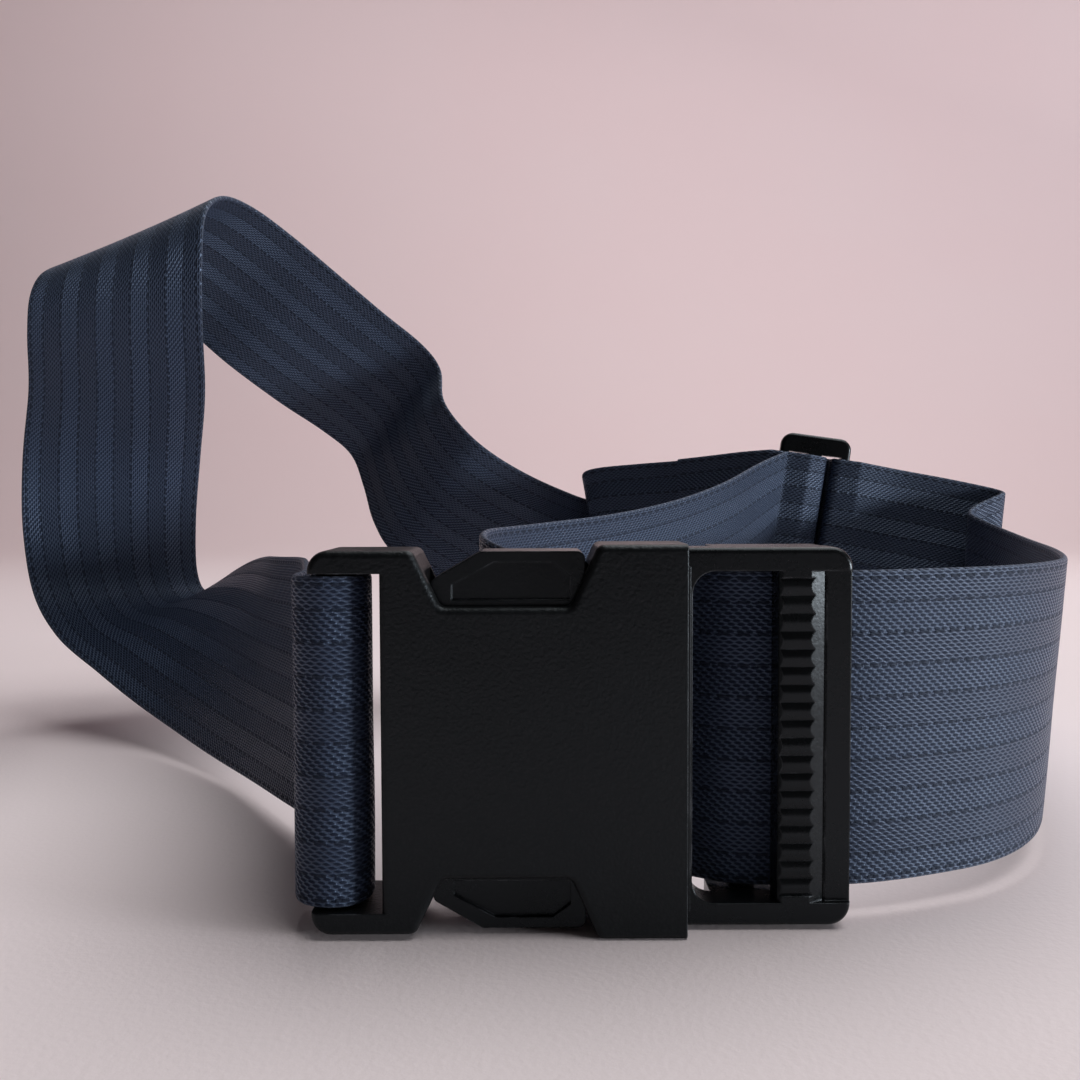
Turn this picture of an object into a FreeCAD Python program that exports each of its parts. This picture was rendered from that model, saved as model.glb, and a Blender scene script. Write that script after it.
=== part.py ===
import math
import os

import FreeCAD
import Part
import Sketcher
from FreeCAD import Placement, Rotation, Vector

# Luggage strap: side-release buckle, slide adjuster and one long piece of webbing.
# X runs along the buckle from the receptacle to the plug, Y from its front to its back, Z is up.
# The buckle stands on its long edge at Z = 0. Sizes are in mm.

doc = FreeCAD.newDocument("luggage_strap")
dims = doc.addObject("Spreadsheet::Sheet", "dims")

SIZES = [
    ("shift_x", 7.44, "moves the whole object so that it stands centred on the origin"),
    ("shift_y", -101.83, "the same, front to back"),
    # webbing
    ("web_width", 49.0, "nominal 50 mm webbing"),
    ("web_thick", 1.3, "seat-belt type polyester weave"),
    ("mid_z", 29.0, "height of the buckle's centre line"),
    # receptacle
    ("shell_thick", 13.0, "front to back"),
    ("shell_height", 58.0, "at the mouth"),
    ("mouth_x", 21.4, "mouth of the receptacle"),
    ("left_x", -33.8, "free ends of the two rails"),
    ("rail_inset", 0.75, "the rails stand back from the mouth's height"),
    ("notch_floor", 49.0, "height of the upper side notch"),
    ("wall", 2.0, "front and back walls"),
    ("cavity_x", -17.0, "inner end of the cavity"),
    ("cavity_inset", 3.0, "side walls at the mouth"),
    ("slot_inset", 4.1, "slots end this far from the object's long sides"),
    ("slot_right", -23.3, "side of the webbing slot"),
    ("bar_right", -27.4, "end bar, slot side"),
    ("bar_left", -33.6, "end bar, outer side"),
    ("bar_front", 4.0, "end bar, front"),
    ("bar_back", 9.0, "end bar, back"),
    # plug
    ("plug_left", 21.8, "visible left side of the frame"),
    ("plug_right", 46.3, "outer side of the end bar"),
    ("plug_inset", 0.6, "frame is lower than the mouth by this"),
    ("plug_front", 3.4, "front of the frame"),
    ("plug_back", 8.4, "back of the bars"),
    ("cheek_back", 13.8, "back of the two cheeks that carry the rear bar"),
    ("window_left", 22.5, "window beside the lock bar"),
    ("lock_left", 35.3, "toothed lock bar"),
    ("lock_right", 40.0, "toothed lock bar"),
    ("end_left", 42.6, "end bar beside the lock bar"),
    ("end_front", 4.4, "front of the end bar"),
    ("tooth_pitch", 2.65, "ribs of the lock bar"),
    ("rib_radius", 2.4, "roundness of a rib"),
    ("rib_depth", 0.38, "valley between two ribs"),
    ("lock_bevel", 0.6, "bevel of the lock bar beside the window"),
    ("root_left", 15.3, "inner end of the plug's root block"),
    ("tongue_left", -13.0, "free end of the guide tongue"),
    # release arms
    ("arm_pivot_x", 13.5, "where the arm flexes"),
    ("arm_pivot_z", 46.5, "where the arm flexes"),
    ("arm_thick", 3.0, "arm seen from the front"),
    ("arm_front", 2.4, "arm and pad, front"),
    ("arm_depth", 8.2, "arm and pad, front to back"),
    ("pad_left", -16.0, "free end of the pad"),
    ("pad_right", 6.6, "shoulder that catches on the receptacle"),
    ("pad_top", 57.0, "top of the pad"),
    # slide adjuster
    ("glide_length", 61.0, "across the webbing"),
    ("glide_width", 20.5, "along the webbing"),
    ("glide_thick", 4.0, "plate"),
    ("glide_slot_length", 50.0, "both slots"),
    ("glide_slot_width", 5.6, "both slots"),
    ("glide_middle", 4.0, "middle bar"),
    # stitching
    ("thread_wide", 0.9, "row of stitches"),
    ("thread_proud", 0.35, "stands off the webbing"),
    ("seam_length", 20.0, "box of stitches, along the webbing"),
    ("seam_width", 42.0, "box of stitches, across the webbing"),
]
for row, (name, value, note) in enumerate(SIZES, start=1):
    dims.set(f"A{row}", name)
    dims.set(f"B{row}", str(value))
    dims.set(f"C{row}", note)
    dims.setAlias(f"B{row}", name)
doc.recompute()
D = {name: value for name, value, note in SIZES}
made = []


def formula(text):
    """A formula of sheet names, with dims. put before each name."""
    words = []
    for word in text.split():
        words.append("dims." + word if word in D else word)
    return " ".join(words)


def bind(obj, **formulas):
    for prop, text in formulas.items():
        obj.setExpression(prop.replace("__", "."), formula(text))
    return obj


def place(obj, x="0", y="0", z="0"):
    for axis, text in zip("xyz", (x, y, z)):
        obj.setExpression(f".Placement.Base.{axis}", formula(text))
    return obj


def block(name, x, y, z):
    """A box between two formulas along each axis."""
    obj = doc.addObject("Part::Box", name)
    for prop, (low, high) in zip(("Length", "Width", "Height"), (x, y, z)):
        obj.setExpression(prop, formula(f"( {high} ) - ( {low} )"))
    return place(obj, x[0], y[0], z[0])


def outline(name, points, upright=True):
    """A closed sketch whose corners are formulas; upright ones lie in XZ, others in XY."""
    sketch = doc.addObject("Sketcher::SketchObject", name)
    if upright:
        sketch.Placement = Placement(Vector(0, 0, 0), Rotation(Vector(1, 0, 0), 90))
    spots = [tuple(value_of(t) for t in p) for p in points]
    count = len(points)
    for n in range(count):
        a, b = spots[n], spots[(n + 1) % count]
        line = Part.LineSegment(Vector(a[0], a[1], 0), Vector(b[0], b[1], 0))
        sketch.addGeometry(line, False)
    for n in range(count):
        sketch.addConstraint(Sketcher.Constraint("Coincident", n, 2, (n + 1) % count, 1))
    for n, (across, up) in enumerate(points):
        for kind, text, value in (("DistanceX", across, spots[n][0]), ("DistanceY", up, spots[n][1])):
            index = sketch.addConstraint(Sketcher.Constraint(kind, -1, 1, n, 1, value))
            sketch.setExpression(f"Constraints[{index}]", formula(text))
    return sketch


def value_of(text):
    """The present value of a formula made of names, numbers, + and -."""
    total, sign = 0.0, 1
    for word in text.split():
        if word in "+-":
            sign = 1 if word == "+" else -1
        else:
            total += sign * (D[word] if word in D else float(word))
            sign = 1
    return total


def extrude(name, sketch, direction, length):
    obj = doc.addObject("Part::Extrusion", name)
    obj.Base = sketch
    obj.DirMode = "Custom"
    obj.Dir = direction
    obj.Solid = True
    obj.setExpression("LengthFwd", formula(length))
    return obj


def fuse(name, parts):
    obj = doc.addObject("Part::MultiFuse", name)
    obj.Shapes = parts
    obj.Refine = True
    return obj


def cut(name, base, tools):
    tool = tools[0] if len(tools) == 1 else fuse(name + "_tools", tools)
    obj = doc.addObject("Part::Cut", name)
    obj.Base, obj.Tool = base, tool
    obj.Refine = True
    return obj


def fillet(name, base, rules):
    """Rounds the edges that a rule picks. Each rule is (test on the edge, radius)."""
    doc.recompute()
    chosen = {}
    for test, radius in rules:
        for n, edge in enumerate(base.Shape.Edges, start=1):
            if n not in chosen and test(edge):
                chosen[n] = radius
    obj = doc.addObject("Part::Fillet", name)
    obj.Base = base
    obj.Edges = [(n, radius, radius) for n, radius in sorted(chosen.items())]
    return obj


def keep(obj, label, moved=True):
    """Marks an object as a node of the finished part and moves it to its place."""
    if moved:
        shift_x = obj.Placement.Base.x
        shift_y = obj.Placement.Base.y
        obj.setExpression(".Placement.Base.x", formula(f"shift_x + {shift_x}"))
        obj.setExpression(".Placement.Base.y", formula(f"shift_y + {shift_y}"))
    obj.Label = label
    made.append(obj)
    return obj


def along(edge, axis):
    if edge.Curve.TypeId != "Part::GeomLine":
        return False
    d = edge.tangentAt(edge.FirstParameter)
    return abs(abs(d.dot(axis)) - 1) < 1e-6


def at(edge, x=None, y=None, z=None, slack=0.02):
    c = edge.CenterOfMass
    pairs = ((c.x, x), (c.y, y), (c.z, z))
    return all(want is None or abs(have - want) < slack for have, want in pairs)


X, Y, Z = Vector(1, 0, 0), Vector(0, 1, 0), Vector(0, 0, 1)

# ---------------------------------------------------------------- receptacle
upper = [
    ("mouth_x", "shell_height"),
    ("mouth_x - 13.0", "shell_height"),
    ("mouth_x - 17.0", "notch_floor"),
    ("cavity_x + 2.5", "notch_floor"),
    ("cavity_x - 1.5", "shell_height - rail_inset"),
    ("left_x", "shell_height - rail_inset"),
]
lower = [
    ("left_x", "rail_inset"),
    ("cavity_x - 1.5", "rail_inset"),
    ("cavity_x + 2.5", "shell_height - notch_floor"),
    ("mouth_x - 17.0", "shell_height - notch_floor"),
    ("mouth_x - 13.0", "0"),
    ("mouth_x", "0"),
]
shell = extrude("shell_solid", outline("shell_outline", upper + lower), Y, "shell_thick")


def shell_round(edge):
    """Long corners of the outline that run from front to back."""
    return along(edge, Y) and at(edge, x=D["left_x"])


def notch_round(edge):
    return along(edge, Y) and edge.CenterOfMass.x < 10


rounded = fillet("shell_corners", shell, [(shell_round, 3.0), (notch_round, 1.4)])
doc.recompute()
front_y, back_y = 0.0, D["shell_thick"]


def face_rim(edge):
    b = edge.BoundBox
    flat = b.YLength < 1e-6
    on_face = abs(b.YMin - front_y) < 1e-6 or abs(b.YMin - back_y) < 1e-6
    on_mouth = abs(b.XMin - D["mouth_x"]) < 1e-6
    return flat and on_face and b.XMax < D["mouth_x"] + 1 and not on_mouth


softened = fillet("shell_soft", rounded, [(face_rim, 1.1)])
cavity = block(
    "cavity",
    ("cavity_x", "mouth_x + 1.0"),
    ("wall", "shell_thick - wall"),
    ("cavity_inset", "shell_height - cavity_inset"),
)
slot = block(
    "slot",
    ("bar_right", "slot_right"),
    ("-1.0", "shell_thick + 1.0"),
    ("slot_inset", "shell_height - slot_inset"),
)
bar_ends = ("slot_inset", "shell_height - slot_inset")
bar_front_cut = block("bar_front_cut", ("left_x - 1.0", "bar_right + 0.5"), ("-1.0", "bar_front"), bar_ends)
behind_bar = ("bar_back", "shell_thick + 1.0")
bar_back_cut = block("bar_back_cut", ("left_x - 1.0", "bar_right + 0.5"), behind_bar, bar_ends)
bar_side_cut = block("bar_side_cut", ("left_x - 1.0", "bar_left"), ("-1.0", "shell_thick + 1.0"), bar_ends)
hollow = cut("shell_hollow", softened, [cavity, slot, bar_front_cut, bar_back_cut, bar_side_cut])


def bar_edge(edge):
    long_one = along(edge, Z) and edge.Length > 40
    return long_one and edge.CenterOfMass.x < D["bar_right"] + 0.1 and 3 < edge.CenterOfMass.y < 10


def slot_edge(edge):
    c = edge.CenterOfMass
    return along(edge, Z) and edge.Length > 40 and abs(c.x - D["slot_right"]) < 0.1


receptacle = keep(fillet("receptacle_body", hollow, [(bar_edge, 1.4), (slot_edge, 0.9)]), "receptacle")

# ---------------------------------------------------------------- plug
ends = ("plug_inset", "shell_height - plug_inset")
bar_z = ("slot_inset - 0.6", "shell_height - slot_inset + 0.6")
frame = block("frame_solid", ("plug_left", "plug_right"), ("plug_front", "plug_back"), ends)
frame_round = fillet(
    "frame_corners",
    frame,
    [(lambda e: along(e, Y) and at(e, x=D["plug_right"]), 3.2)],
)


def frame_rim(edge):
    b = edge.BoundBox
    return b.YLength < 1e-6 and abs(b.YMin - D["plug_front"]) < 1e-6 and b.XMax > D["plug_left"] + 0.1


frame_soft = fillet("frame_soft", frame_round, [(frame_rim, 0.9)])
window = block(
    "window",
    ("window_left", "lock_left"),
    ("plug_front - 1.0", "plug_back + 1.0"),
    ("slot_inset", "shell_height - slot_inset"),
)
window_round = fillet(
    "window_round", window, [(lambda e: along(e, Y) and at(e, x=D["window_left"]), 3.4)]
)
# the lock bar slopes back to the end bar on one side, and has a narrow bevel on the other
slope_points = [
    ("lock_right", "plug_front - 1.0"),
    ("lock_right", "plug_front"),
    ("end_left", "end_front + 0.3"),
    ("end_left", "plug_front - 1.0"),
]
bevel_points = [
    ("lock_left - 1.0", "plug_front - 1.0"),
    ("lock_left + lock_bevel + 1.0", "plug_front - 1.0"),
    ("lock_left - 1.0", "plug_front + lock_bevel + 1.0"),
]
sides = []
for name, points in (("slope", slope_points), ("bevel", bevel_points)):
    sketch = outline(name + "_outline", points, upright=False)
    sketch.setExpression(".Placement.Base.z", formula("slot_inset"))
    sides.append(extrude(name + "_cut", sketch, Z, "shell_height - 2 * slot_inset"))
end_cut = block(
    "end_cut",
    ("end_left - 0.3", "plug_right + 1.0"),
    ("plug_front - 1.0", "end_front"),
    ("slot_inset", "shell_height - slot_inset"),
)
# round ribs across the lock bar: what lies between them is taken away
rib_count = 18
ribs = []
for n in range(rib_count):
    rib = doc.addObject("Part::Cylinder", f"rib_{n + 1}")
    rib.Placement = Placement(Vector(0, 0, 0), Rotation(Vector(0, 1, 0), 90))
    bind(rib, Radius="rib_radius", Height="end_left - lock_left + 4.0")
    middle = f"mid_z + tooth_pitch * {n - (rib_count - 1) / 2}"
    place(rib, "lock_left - 2.0", "plug_front + rib_radius", middle)
    ribs.append(rib)
rib_field = block(
    "rib_field",
    ("lock_left - 1.0", "end_left - 0.4"),
    ("plug_front - 0.5", "plug_front + rib_depth"),
    (f"mid_z - tooth_pitch * {rib_count / 2}", f"mid_z + tooth_pitch * {rib_count / 2}"),
)
valleys = cut("rib_valleys", rib_field, ribs)
frame_cut = cut("frame_cut", frame_soft, [window_round, end_cut, valleys] + sides)
cheeks = []
for name, low, high in (
    ("cheek_low", "plug_inset", "slot_inset"),
    ("cheek_high", "shell_height - slot_inset", "shell_height - plug_inset"),
):
    cheek_y = ("plug_back - 0.5", "cheek_back")
    cheeks.append(block(name, ("window_left + 3.5", "end_left"), cheek_y, (low, high)))
rear_bar = block("rear_bar", ("29.6", "33.6"), ("cheek_back - 2.2", "cheek_back"), ends)
root_block = block(
    "root_block",
    ("root_left", "plug_left + 0.3"),
    ("wall + 0.3", "shell_thick - wall - 0.3"),
    ("cavity_inset + 0.4", "shell_height - cavity_inset - 0.4"),
)
tongue = block("tongue", ("tongue_left", "root_left + 1.0"), ("5.0", "8.0"), ("mid_z - 5.0", "mid_z + 5.0"))
tongue_round = fillet("tongue_round", tongue, [(lambda e: along(e, Y) and at(e, x=D["tongue_left"]), 3.0)])
plug_frame = keep(
    fuse("plug_body", [frame_cut, rear_bar, root_block, tongue_round] + cheeks), "plug_frame"
)


# ---------------------------------------------------------------- release arms
def release_arm(name, upward):
    """One flexing arm with its thumb pad. The lower arm is the upper one turned over."""
    knuckle = doc.addObject("Part::Cylinder", name + "_knuckle")
    knuckle.Placement = Placement(Vector(0, 0, 0), Rotation(Vector(1, 0, 0), -90))
    bind(knuckle, Radius="arm_thick / 2", Height="arm_depth")
    place(knuckle, "arm_pivot_x", "arm_front", "arm_pivot_z")
    z_low, z_high = "arm_pivot_z - arm_thick / 2", "arm_pivot_z + arm_thick / 2"
    depth = ("arm_front", "arm_front + arm_depth")
    beam = block(name + "_beam", ("pad_left + 2.0", "arm_pivot_x"), depth, (z_low, z_high))
    pad_points = [
        ("pad_right", "arm_pivot_z"),
        ("pad_right", "pad_top"),
        ("pad_left + 7.3", "pad_top"),
        ("pad_left", "pad_top - 4.2"),
        ("pad_left", "arm_pivot_z - 1.5"),
        ("pad_right - 2.0", "arm_pivot_z - 1.5"),
    ]
    sketch = outline(name + "_pad_outline", pad_points)
    sketch.setExpression(".Placement.Base.y", formula("arm_front"))
    pad = extrude(name + "_pad", sketch, Y, "arm_depth")
    soft = fillet(name + "_pad_soft", pad, [(lambda e: along(e, Y) and e.CenterOfMass.z > 50, 1.2)])
    panel_points = [
        ("pad_right - 2.2", "notch_floor + 0.9"),
        ("pad_right - 2.2", "pad_top - 3.6"),
        ("pad_right - 4.8", "pad_top - 1.6"),
        ("pad_left + 9.2", "pad_top - 1.6"),
        ("pad_left + 3.0", "pad_top - 4.9"),
        ("pad_left + 3.0", "notch_floor + 0.9"),
    ]
    panel_sketch = outline(name + "_panel_outline", panel_points)
    panel_sketch.setExpression(".Placement.Base.y", formula("arm_front - 1.0"))
    panel = extrude(name + "_panel", panel_sketch, Y, "1.7")
    body = cut(name + "_body", fuse(name + "_solid", [knuckle, beam, soft]), [panel])
    if not upward:
        flipped = doc.addObject("Part::Mirroring", name + "_mirror")
        flipped.Source = body
        flipped.Normal = Z
        flipped.setExpression(".Base.z", formula("mid_z"))
        body = flipped
    return keep(body, name)


release_arm("release_arm_upper", True)
release_arm("release_arm_lower", False)

# ---------------------------------------------------------------- slide adjuster
GLIDE_AT = Vector(78.5, 157.0, 52.5)
GLIDE_TURN = Rotation(Vector(0, 0, 1), -8).multiply(Rotation(Vector(0, 1, 0), 8.5))
half = "glide_width / 2"
plate = block(
    "glide_plate",
    (f"0 - {half}", half),
    ("0 - glide_thick / 2", "glide_thick / 2"),
    ("0 - glide_length / 2", "glide_length / 2"),
)
plate_round = fillet("glide_corners", plate, [(lambda e: along(e, Y), 3.5)])
plate_soft = fillet("glide_soft", plate_round, [(lambda e: e.BoundBox.YLength < 1e-6, 1.2)])
slots = []
for side in (-1, 1):
    near = "glide_middle / 2"
    far = "glide_middle / 2 + glide_slot_width"
    span = (near, far) if side > 0 else (f"0 - ( {far} )", f"0 - ( {near} )")
    slots.append(
        block(
            f"glide_slot_{side + 2}",
            span,
            ("0 - glide_thick", "glide_thick"),
            ("0 - glide_slot_length / 2", "glide_slot_length / 2"),
        )
    )
glide = cut("glide_body", plate_soft, slots)
glide.Placement = Placement(GLIDE_AT, GLIDE_TURN)
keep(glide, "tri_glide")


def in_glide(along_web, out):
    """A point near the adjuster: along the webbing, and out from its front face."""
    return GLIDE_AT + GLIDE_TURN.multVec(Vector(along_web, out - D["glide_thick"] / 2, 0))


GLIDE_W = GLIDE_TURN.multVec(Vector(0, 0, 1))

# ---------------------------------------------------------------- webbing
# The webbing is one long ribbon. Each station is its centre and the way its width points.
# A run is the stretch between two stations, and is a node of its own.
UP = (0, 0, 1)


def standing(points, width=UP):
    return [(Vector(x, y, z), Vector(*width)) for x, y, z in points]


def level(points, z, width=UP):
    return standing([(x, y, z) for x, y in points], width)


def held(points):
    return [(in_glide(a, out), GLIDE_W) for a, out in points]


MID = D["mid_z"]
RUNS = [
    ("webbing_sewn_tail", "smooth", level([(-42.15, 42.4), (-39.2, 30.6), (-36.65, 20.0)], MID)),
    (
        "webbing_bar_wrap",
        "smooth",
        level(
            [
                (-34.6, 14.0),
                (-31.6, 12.2),
                (-28.0, 11.0),
                (-26.3, 8.9),
                (-26.1, 6.2),
                (-26.5, 3.9),
                (-27.9, 2.3),
                (-30.9, 1.4),
                (-34.0, 2.1),
                (-36.0, 3.8),
                (-36.7, 6.3),
                (-36.9, 9.8),
                (-37.1, 13.4),
            ],
            MID,
        ),
    ),
    ("webbing_sewn_lead", "smooth", level([(-38.4, 20.2), (-40.8, 30.2), (-43.7, 42.0)], MID)),
    (
        "webbing_rise",
        "smooth",
        [
            (Vector(-49.5, 55.0, 28.6), Vector(0.05, 0.08, 1.0)),
            (Vector(-65.5, 84.0, 27.5), Vector(0.16, 0.18, 0.97)),
            (Vector(-86.0, 118.0, 28.0), Vector(0.40, 0.40, 0.83)),
            (Vector(-106.0, 142.0, 30.0), Vector(0.57, 0.64, 0.51)),
            (Vector(-120.5, 154.0, 31.0), Vector(0.64, 0.75, 0.16)),
        ],
    ),
    (
        "webbing_upright",
        "smooth",
        [
            (Vector(-127.5, 159.0, 39.5), Vector(0.72, 0.68, 0.08)),
            (Vector(-129.0, 159.0, 56.0), Vector(0.84, 0.54, 0.08)),
            (Vector(-126.0, 153.0, 76.0), Vector(0.94, 0.32, 0.06)),
            (Vector(-120.0, 141.5, 95.0), Vector(1.0, 0.08, 0.0)),
            (Vector(-116.0, 131.5, 111.0), Vector(1.0, -0.05, 0.0)),
        ],
    ),
    (
        "webbing_crown",
        "smooth",
        [
            (Vector(-114.0, 128.5, 124.0), Vector(0.99, -0.09, 0.09)),
            (Vector(-112.5, 131.5, 134.0), Vector(0.96, -0.14, 0.24)),
            (Vector(-109.5, 142.0, 139.3), Vector(0.91, -0.22, 0.35)),
            (Vector(-103.0, 155.0, 138.3), Vector(0.86, -0.32, 0.39)),
        ],
    ),
    (
        "webbing_fall",
        "smooth",
        [
            (Vector(-93.0, 166.0, 131.0), Vector(0.81, -0.36, 0.46)),
            (Vector(-81.0, 173.0, 120.5), Vector(0.79, -0.33, 0.51)),
            (Vector(-67.5, 180.5, 109.5), Vector(0.77, -0.36, 0.52)),
            (Vector(-55.5, 187.0, 100.5), Vector(0.73, -0.42, 0.53)),
        ],
    ),
    (
        "webbing_crease",
        "smooth",
        [
            (Vector(-48.0, 187.5, 92.5), Vector(0.67, -0.51, 0.53)),
            (Vector(-44.5, 181.0, 81.5), Vector(0.60, -0.58, 0.54)),
            (Vector(-38.5, 175.5, 70.5), Vector(0.65, -0.47, 0.59)),
        ],
    ),
    (
        "webbing_approach",
        "smooth",
        [
            (Vector(-30.0, 175.0, 61.5), Vector(0.69, -0.33, 0.64)),
            (Vector(-14.0, 182.5, 51.5), Vector(0.62, -0.27, 0.73)),
            (Vector(2.5, 194.0, 43.0), Vector(0.42, -0.16, 0.89)),
        ],
    ),
    (
        "webbing_left_fold",
        "smooth",
        [
            (Vector(17.0, 201.5, 38.5), Vector(0.18, -0.04, 0.98)),
            (Vector(25.5, 202.6, 38.0), Vector(0.06, 0.0, 1.0)),
            (Vector(29.5, 199.6, 38.8), Vector(0.02, 0.0, 1.0)),
            (Vector(26.5, 196.4, 41.0), Vector(-0.04, 0.0, 1.0)),
            (Vector(20.5, 193.8, 45.5), Vector(-0.14, 0.0, 0.98)),
            (Vector(18.8, 190.2, 48.5), Vector(-0.18, 0.0, 0.97)),
            (Vector(22.0, 187.4, 50.0), Vector(-0.14, 0.0, 0.99)),
        ],
    ),
    (
        "webbing_left_run",
        "smooth",
        [
            (Vector(34.0, 180.6, 51.0), Vector(-0.05, 0.02, 1.0)),
            (Vector(48.5, 171.3, 52.0), Vector(-0.02, 0.02, 1.0)),
            (Vector(61.2, 160.2, 54.0), Vector(0.08, 0.0, 1.0)),
        ],
    ),
    (
        "webbing_in_glide",
        "bent",
        held([(-13.0, -0.95), (-5.6, -0.95), (-5.6, 6.65), (5.6, 6.65), (5.6, -0.95), (13.0, -0.95)]),
    ),
    (
        "webbing_right_run",
        "smooth",
        [
            (Vector(102.5, 154.2, 48.4), Vector(0.17, -0.01, 0.98)),
            (Vector(116.0, 153.4, 45.8), Vector(0.17, -0.01, 0.98)),
            (Vector(126.5, 152.0, 43.5), Vector(0.14, -0.02, 0.99)),
        ],
    ),
    (
        "webbing_right_fold",
        "smooth",
        [
            (Vector(131.6, 150.2, 42.2), Vector(0.10, -0.02, 1.0)),
            (Vector(132.6, 147.0, 41.4), Vector(0.08, -0.02, 1.0)),
            (Vector(129.6, 144.6, 40.4), Vector(0.07, -0.02, 1.0)),
            (Vector(124.4, 143.2, 38.2), Vector(0.05, -0.03, 1.0)),
            (Vector(120.9, 140.4, 36.0), Vector(0.03, -0.03, 1.0)),
            (Vector(120.8, 136.4, 34.6), Vector(0.02, -0.04, 1.0)),
        ],
    ),
    (
        "webbing_right_bend",
        "smooth",
        [
            (Vector(122.2, 129.0, 32.8), Vector(0.0, -0.05, 1.0)),
            (Vector(121.5, 117.0, 31.2), Vector(0.0, -0.05, 1.0)),
            (Vector(116.2, 95.0, 29.8), Vector(0.03, -0.03, 1.0)),
            (Vector(106.0, 65.0, 29.2), Vector(0.07, 0.0, 1.0)),
            (Vector(95.5, 42.0, 29.0), Vector(0.08, 0.0, 1.0)),
            (Vector(86.0, 28.5, 29.0), Vector(0.05, 0.0, 1.0)),
            (Vector(74.5, 19.0, 29.0), Vector(0.02, 0.0, 1.0)),
            (Vector(61.5, 13.4, 29.0), Vector(0.0, 0.0, 1.0)),
        ],
    ),
    (
        "webbing_lock_run",
        "smooth",
        level(
            [(51.0, 10.3), (44.0, 9.7), (36.0, 9.7), (31.6, 10.0), (28.0, 11.0), (21.5, 14.4), (14.0, 15.2)],
            MID,
        ),
    ),
    (
        "webbing_return_bend",
        "smooth",
        standing(
            [
                (4.0, 16.6, 30.0),
                (-3.6, 20.0, 31.4),
                (-8.6, 26.0, 33.0),
                (-10.2, 34.0, 34.0),
                (-9.4, 42.0, 34.5),
            ],
        ),
    ),
    (
        "webbing_return_run",
        "smooth",
        [
            (Vector(-6.8, 51.0, 34.6), Vector(0.0, -0.02, 1.0)),
            (Vector(1.0, 65.0, 35.0), Vector(-0.03, -0.04, 1.0)),
            (Vector(18.8, 88.5, 36.6), Vector(-0.06, -0.07, 1.0)),
            (Vector(36.5, 108.5, 39.8), Vector(-0.11, -0.12, 0.99)),
            (Vector(51.5, 126.0, 44.3), Vector(-0.11, -0.12, 0.99)),
            (Vector(62.5, 142.0, 49.6), Vector(-0.02, -0.06, 1.0)),
        ],
    ),
    (
        "webbing_end_loop",
        "bent",
        held(
            [
                (-9.0, -4.2),
                (-1.8, -4.2),
                (2.95, -1.0),
                (2.95, 5.0),
                (-2.95, 5.0),
                (-2.95, -2.6),
                (-13.0, -2.85),
            ],
        ),
    ),
    (
        "webbing_cut_end",
        "smooth",
        [
            (Vector(60.0, 157.9, 53.8), Vector(0.06, 0.0, 1.0)),
            (Vector(52.3, 164.9, 52.8), Vector(0.0, 0.02, 1.0)),
            (Vector(44.8, 171.2, 52.0), Vector(-0.02, 0.02, 1.0)),
        ],
    ),
]
BEND_RADIUS = 1.7


def curve_point(p0, p1, p2, p3, t):
    """Catmull-Rom point between p1 and p2."""
    a = p1 * 2 + (p2 - p0) * t
    b = (p0 * 2 - p1 * 5 + p2 * 4 - p3) * (t * t)
    c = (p1 * 3 - p0 - p2 * 3 + p3) * (t * t * t)
    return (a + b + c) * 0.5


def bend(before, corner, after, radius):
    """The stations of an arc in place of a corner."""
    back, ahead = before[0] - corner[0], after[0] - corner[0]
    turn = math.pi - back.getAngle(ahead)
    if turn < math.radians(8):
        return [corner]
    reach = min(radius * math.tan(turn / 2), back.Length * 0.48, ahead.Length * 0.48)
    radius = reach / math.tan(turn / 2)
    start, end = back.normalize() * reach, ahead.normalize() * reach
    middle = (start + end).normalize()
    hub = middle * math.hypot(radius, reach)
    steps = max(2, math.ceil(math.degrees(turn) / 22))
    stations = []
    for k in range(steps + 1):
        t = k / steps
        spoke = (start - hub) * math.sin((1 - t) * turn) + (end - hub) * math.sin(t * turn)
        stations.append((corner[0] + hub + spoke * (1 / math.sin(turn)), corner[1]))
    return stations


def fine_path():
    """The whole ribbon with its bends and in-between stations, and where each run starts in it."""
    coarse = [(station, kind) for name, kind, stations in RUNS for station in stations]
    starts, total = [], 0
    for name, kind, stations in RUNS:
        starts.append(total)
        total += len(stations)
    bent, where = [], []
    for n, (station, kind) in enumerate(coarse):
        where.append(len(bent))
        inner = 0 < n < total - 1
        around = [station]
        if kind == "bent" and inner:
            around = bend(coarse[n - 1][0], station, coarse[n + 1][0], BEND_RADIUS)
        bent += [(s, kind) for s in around]
    path, moved = [], []
    for n, (station, kind) in enumerate(bent):
        moved.append(len(path))
        path.append(station)
        if n + 1 == len(bent) or kind == bent[n + 1][1] == "bent":
            continue
        gap = (bent[n + 1][0][0] - station[0]).Length
        fewest = 1 if "bent" in (kind, bent[n + 1][1]) else 2
        steps = max(fewest, min(4, round(gap / 6)))
        c = [bent[min(max(n + k, 0), len(bent) - 1)][0] for k in (-1, 0, 1, 2)]
        for k in range(1, steps):
            centre = curve_point(*[s[0] for s in c], k / steps)
            width = curve_point(*[s[1] for s in c], k / steps)
            path.append((centre, width))
    return path, [moved[where[s]] for s in starts] + [len(path) - 1]


def section(name, path, n):
    """A rectangle of the webbing's width and thickness across the ribbon."""
    before, after = path[max(n - 1, 0)][0], path[min(n + 1, len(path) - 1)][0]
    heading = (after - before).normalize()
    centre, width = path[n]
    width = (width * (1 / width.Length)).normalize()
    through = heading.cross(width).normalize()
    forward = width.cross(through)
    turn = Rotation(width, through, forward, "ZXY")
    corner = centre - width * (D["web_width"] / 2) - through * (D["web_thick"] / 2)
    plane = doc.addObject("Part::Plane", name)
    bind(plane, Length="web_width", Width="web_thick")
    plane.Placement = Placement(corner, turn)
    return plane


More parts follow.
